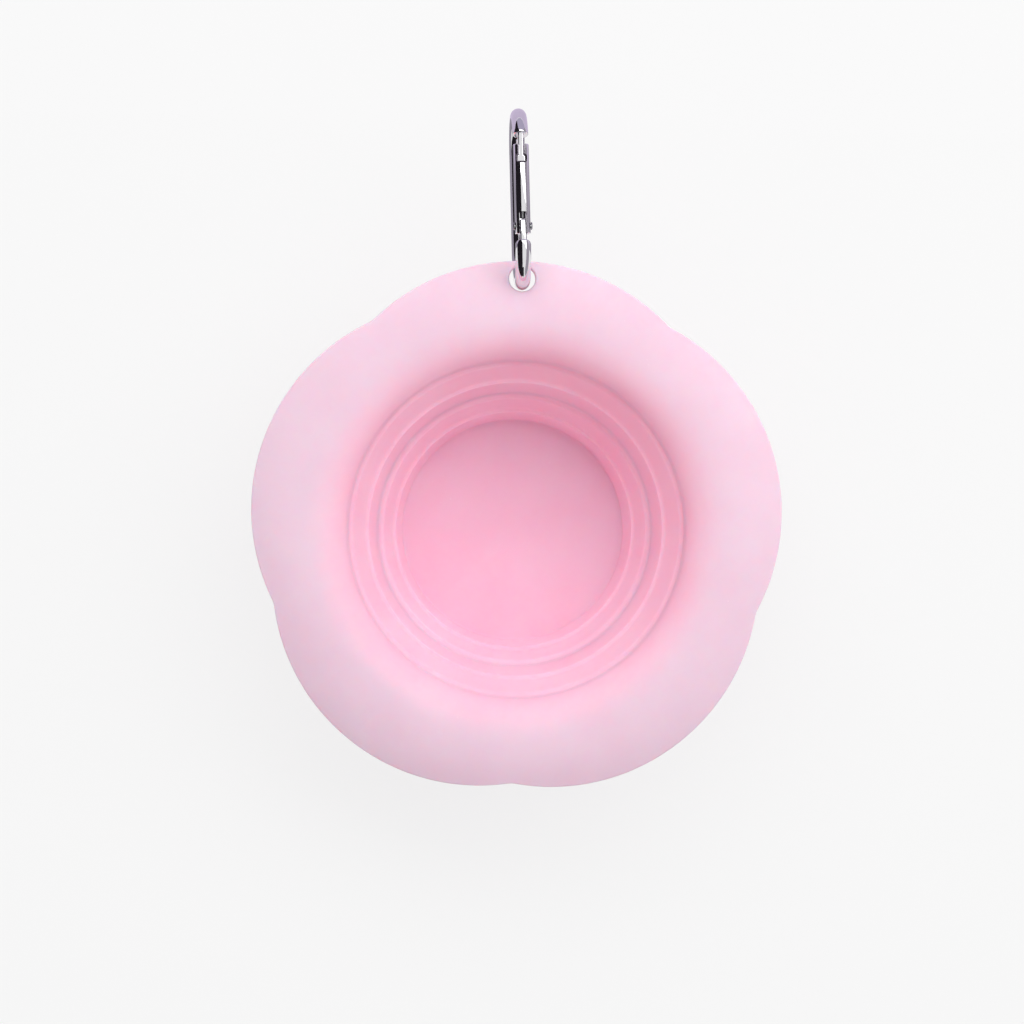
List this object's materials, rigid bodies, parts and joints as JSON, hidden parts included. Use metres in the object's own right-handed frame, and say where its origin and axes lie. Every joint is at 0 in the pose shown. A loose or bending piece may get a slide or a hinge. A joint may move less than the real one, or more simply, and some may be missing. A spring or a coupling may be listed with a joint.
{
  "type": "collapsible bowl",
  "caption": "Soft petal-edged travel bowl with stepped walls that fold flat, hung from an oval snap-hook carabiner through its brim; holds food or water for a pet.",
  "frame": {"origin": "centre of the flat underside of the base", "axes": "+Z up through the mouth, +Y to the hanging hole and its carabiner, +X to the right seen from above with +Y up"},
  "size_m": [0.1498, 0.1909, 0.0578],
  "materials": {
    "silicone": "satin",
    "polished_plate": "polished",
    "plain_steel": "satin"
  },
  "bodies": {
    "base": {"base_cup": "silicone"},
    "middle": {"middle_ring": "silicone", "lower_fold": "silicone"},
    "brim": {"petal_brim": "silicone", "upper_fold": "silicone"},
    "carabiner": {"carabiner_frame": "polished_plate", "gate_rivet": "plain_steel"},
    "gate": {"carabiner_gate": "polished_plate", "gate_spring": "plain_steel"},
    "plunger": {"spring_plunger": "plain_steel"}
  },
  "joints": [
    {"name": "lower_fold_collapse", "type": "slide", "parent": "base", "child": "middle", "axis": [0, 0, -1], "range_m": [0, 0.014], "deforming": ["lower_fold"]},
    {"name": "upper_fold_collapse", "type": "slide", "parent": "middle", "child": "brim", "axis": [0, 0, -1], "range_m": [0, 0.014], "deforming": ["upper_fold"]},
    {"name": "carabiner_swing", "type": "hinge", "parent": "brim", "child": "carabiner", "pos_m": [-0.00044, 0.07928, 0.04583], "axis": [0.9987, 0.0454, -0.0227], "range_deg": [-90, 90]},
    {"name": "gate_swing", "type": "hinge", "parent": "carabiner", "child": "gate", "pos_m": [-0.00046, 0.08449, 0.05563], "axis": [-0.9987, -0.0454, 0.0227], "range_deg": [0, 35], "stiffness_Nm_per_rad": 0.06, "springref_deg": -34.38},
    {"name": "plunger_slide", "type": "slide", "parent": "gate", "child": "plunger", "axis": [-0.0454, 0.999, 0], "range_m": [0, 0.0008], "deforming": ["gate_spring"]}
  ],
  "couplings": [
    {"joint": "plunger_slide", "follows": "gate_swing", "m_per_rad": 0.00115}
  ]
}
